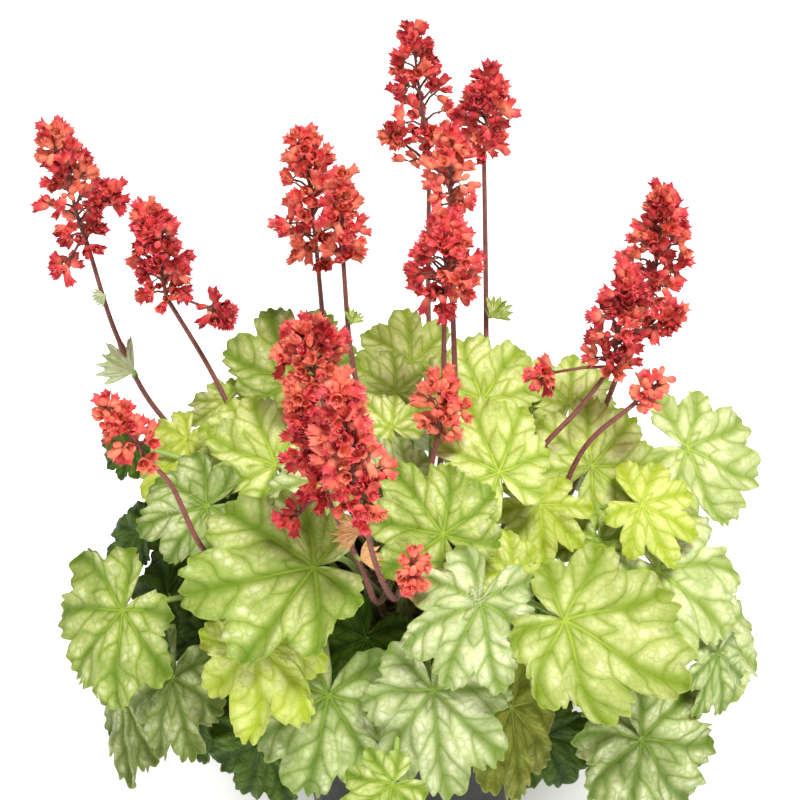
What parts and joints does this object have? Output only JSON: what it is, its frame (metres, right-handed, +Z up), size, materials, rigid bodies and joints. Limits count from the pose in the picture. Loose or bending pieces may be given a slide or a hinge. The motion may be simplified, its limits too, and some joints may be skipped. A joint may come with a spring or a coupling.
{
  "type": "heuchera plant in a nursery pot",
  "caption": "Potted heuchera with a mound of lobed lime and silver-green leaves and wiry scapes that carry panicles of small coral-red bells.",
  "frame": {"origin": "middle of the pot's flat underside, on the surface that it stands on", "axes": "+Z up, -Y the front of the plant, +X to the right seen from the front"},
  "size_m": [0.3793, 0.3378, 0.3871],
  "materials": {
    "pot": "matt black moulded plastic, dusted with compost",
    "soil": "damp crumbly compost",
    "crown": "rough woody rootstock",
    "lime_leaf": "lime yellow, softly hairy, half matt",
    "green_leaf": "fresh green with paler mottling, half matt",
    "silver_leaf": "green net of veins on a silvery ground, half matt",
    "dark_leaf": "old dull green, half matt",
    "scape": "brown-red, finely hairy",
    "coral_floret": "coral red with pink tips, softly hairy"
  },
  "bodies": {
    "root": {"pot": "pot", "soil": "soil", "crown": "crown", "shoot_01": "silver_leaf", "shoot_02": "green_leaf", "shoot_03": "dark_leaf", "shoot_04": "green_leaf", "shoot_05": "dark_leaf", "shoot_06": "lime_leaf", "shoot_07": "lime_leaf", "shoot_08": "green_leaf", "shoot_09": "green_leaf", "shoot_10": "green_leaf", "shoot_11": "lime_leaf", "shoot_12": "silver_leaf", "shoot_13": "lime_leaf", "shoot_14": "lime_leaf", "shoot_15": "dark_leaf", "shoot_16": "silver_leaf", "shoot_17": "silver_leaf", "shoot_18": "lime_leaf", "shoot_19": "silver_leaf", "shoot_20": "lime_leaf", "shoot_21": "lime_leaf", "shoot_22": "green_leaf", "scape_01": "scape", "scape_02": "scape", "scape_03": "scape", "scape_04": "scape", "scape_05": "scape", "scape_06": "scape", "scape_07": "scape", "scape_08": "scape", "scape_09": "scape", "scape_10": "scape", "scape_11": "scape", "scape_12": "scape", "scape_13": "scape", "scape_14": "scape", "scape_15": "scape", "scape_16": "scape", "scape_17": "scape", "panicle_01": "coral_floret", "panicle_02": "coral_floret", "panicle_03": "coral_floret", "panicle_04": "coral_floret", "panicle_05": "coral_floret", "panicle_06": "coral_floret", "panicle_07": "coral_floret", "panicle_08": "coral_floret", "panicle_09": "coral_floret", "panicle_10": "coral_floret", "panicle_11": "coral_floret", "panicle_12": "coral_floret", "panicle_13": "coral_floret", "panicle_14": "coral_floret", "panicle_15": "coral_floret", "panicle_16": "coral_floret", "panicle_17": "coral_floret"}
  },
  "joints": []
}
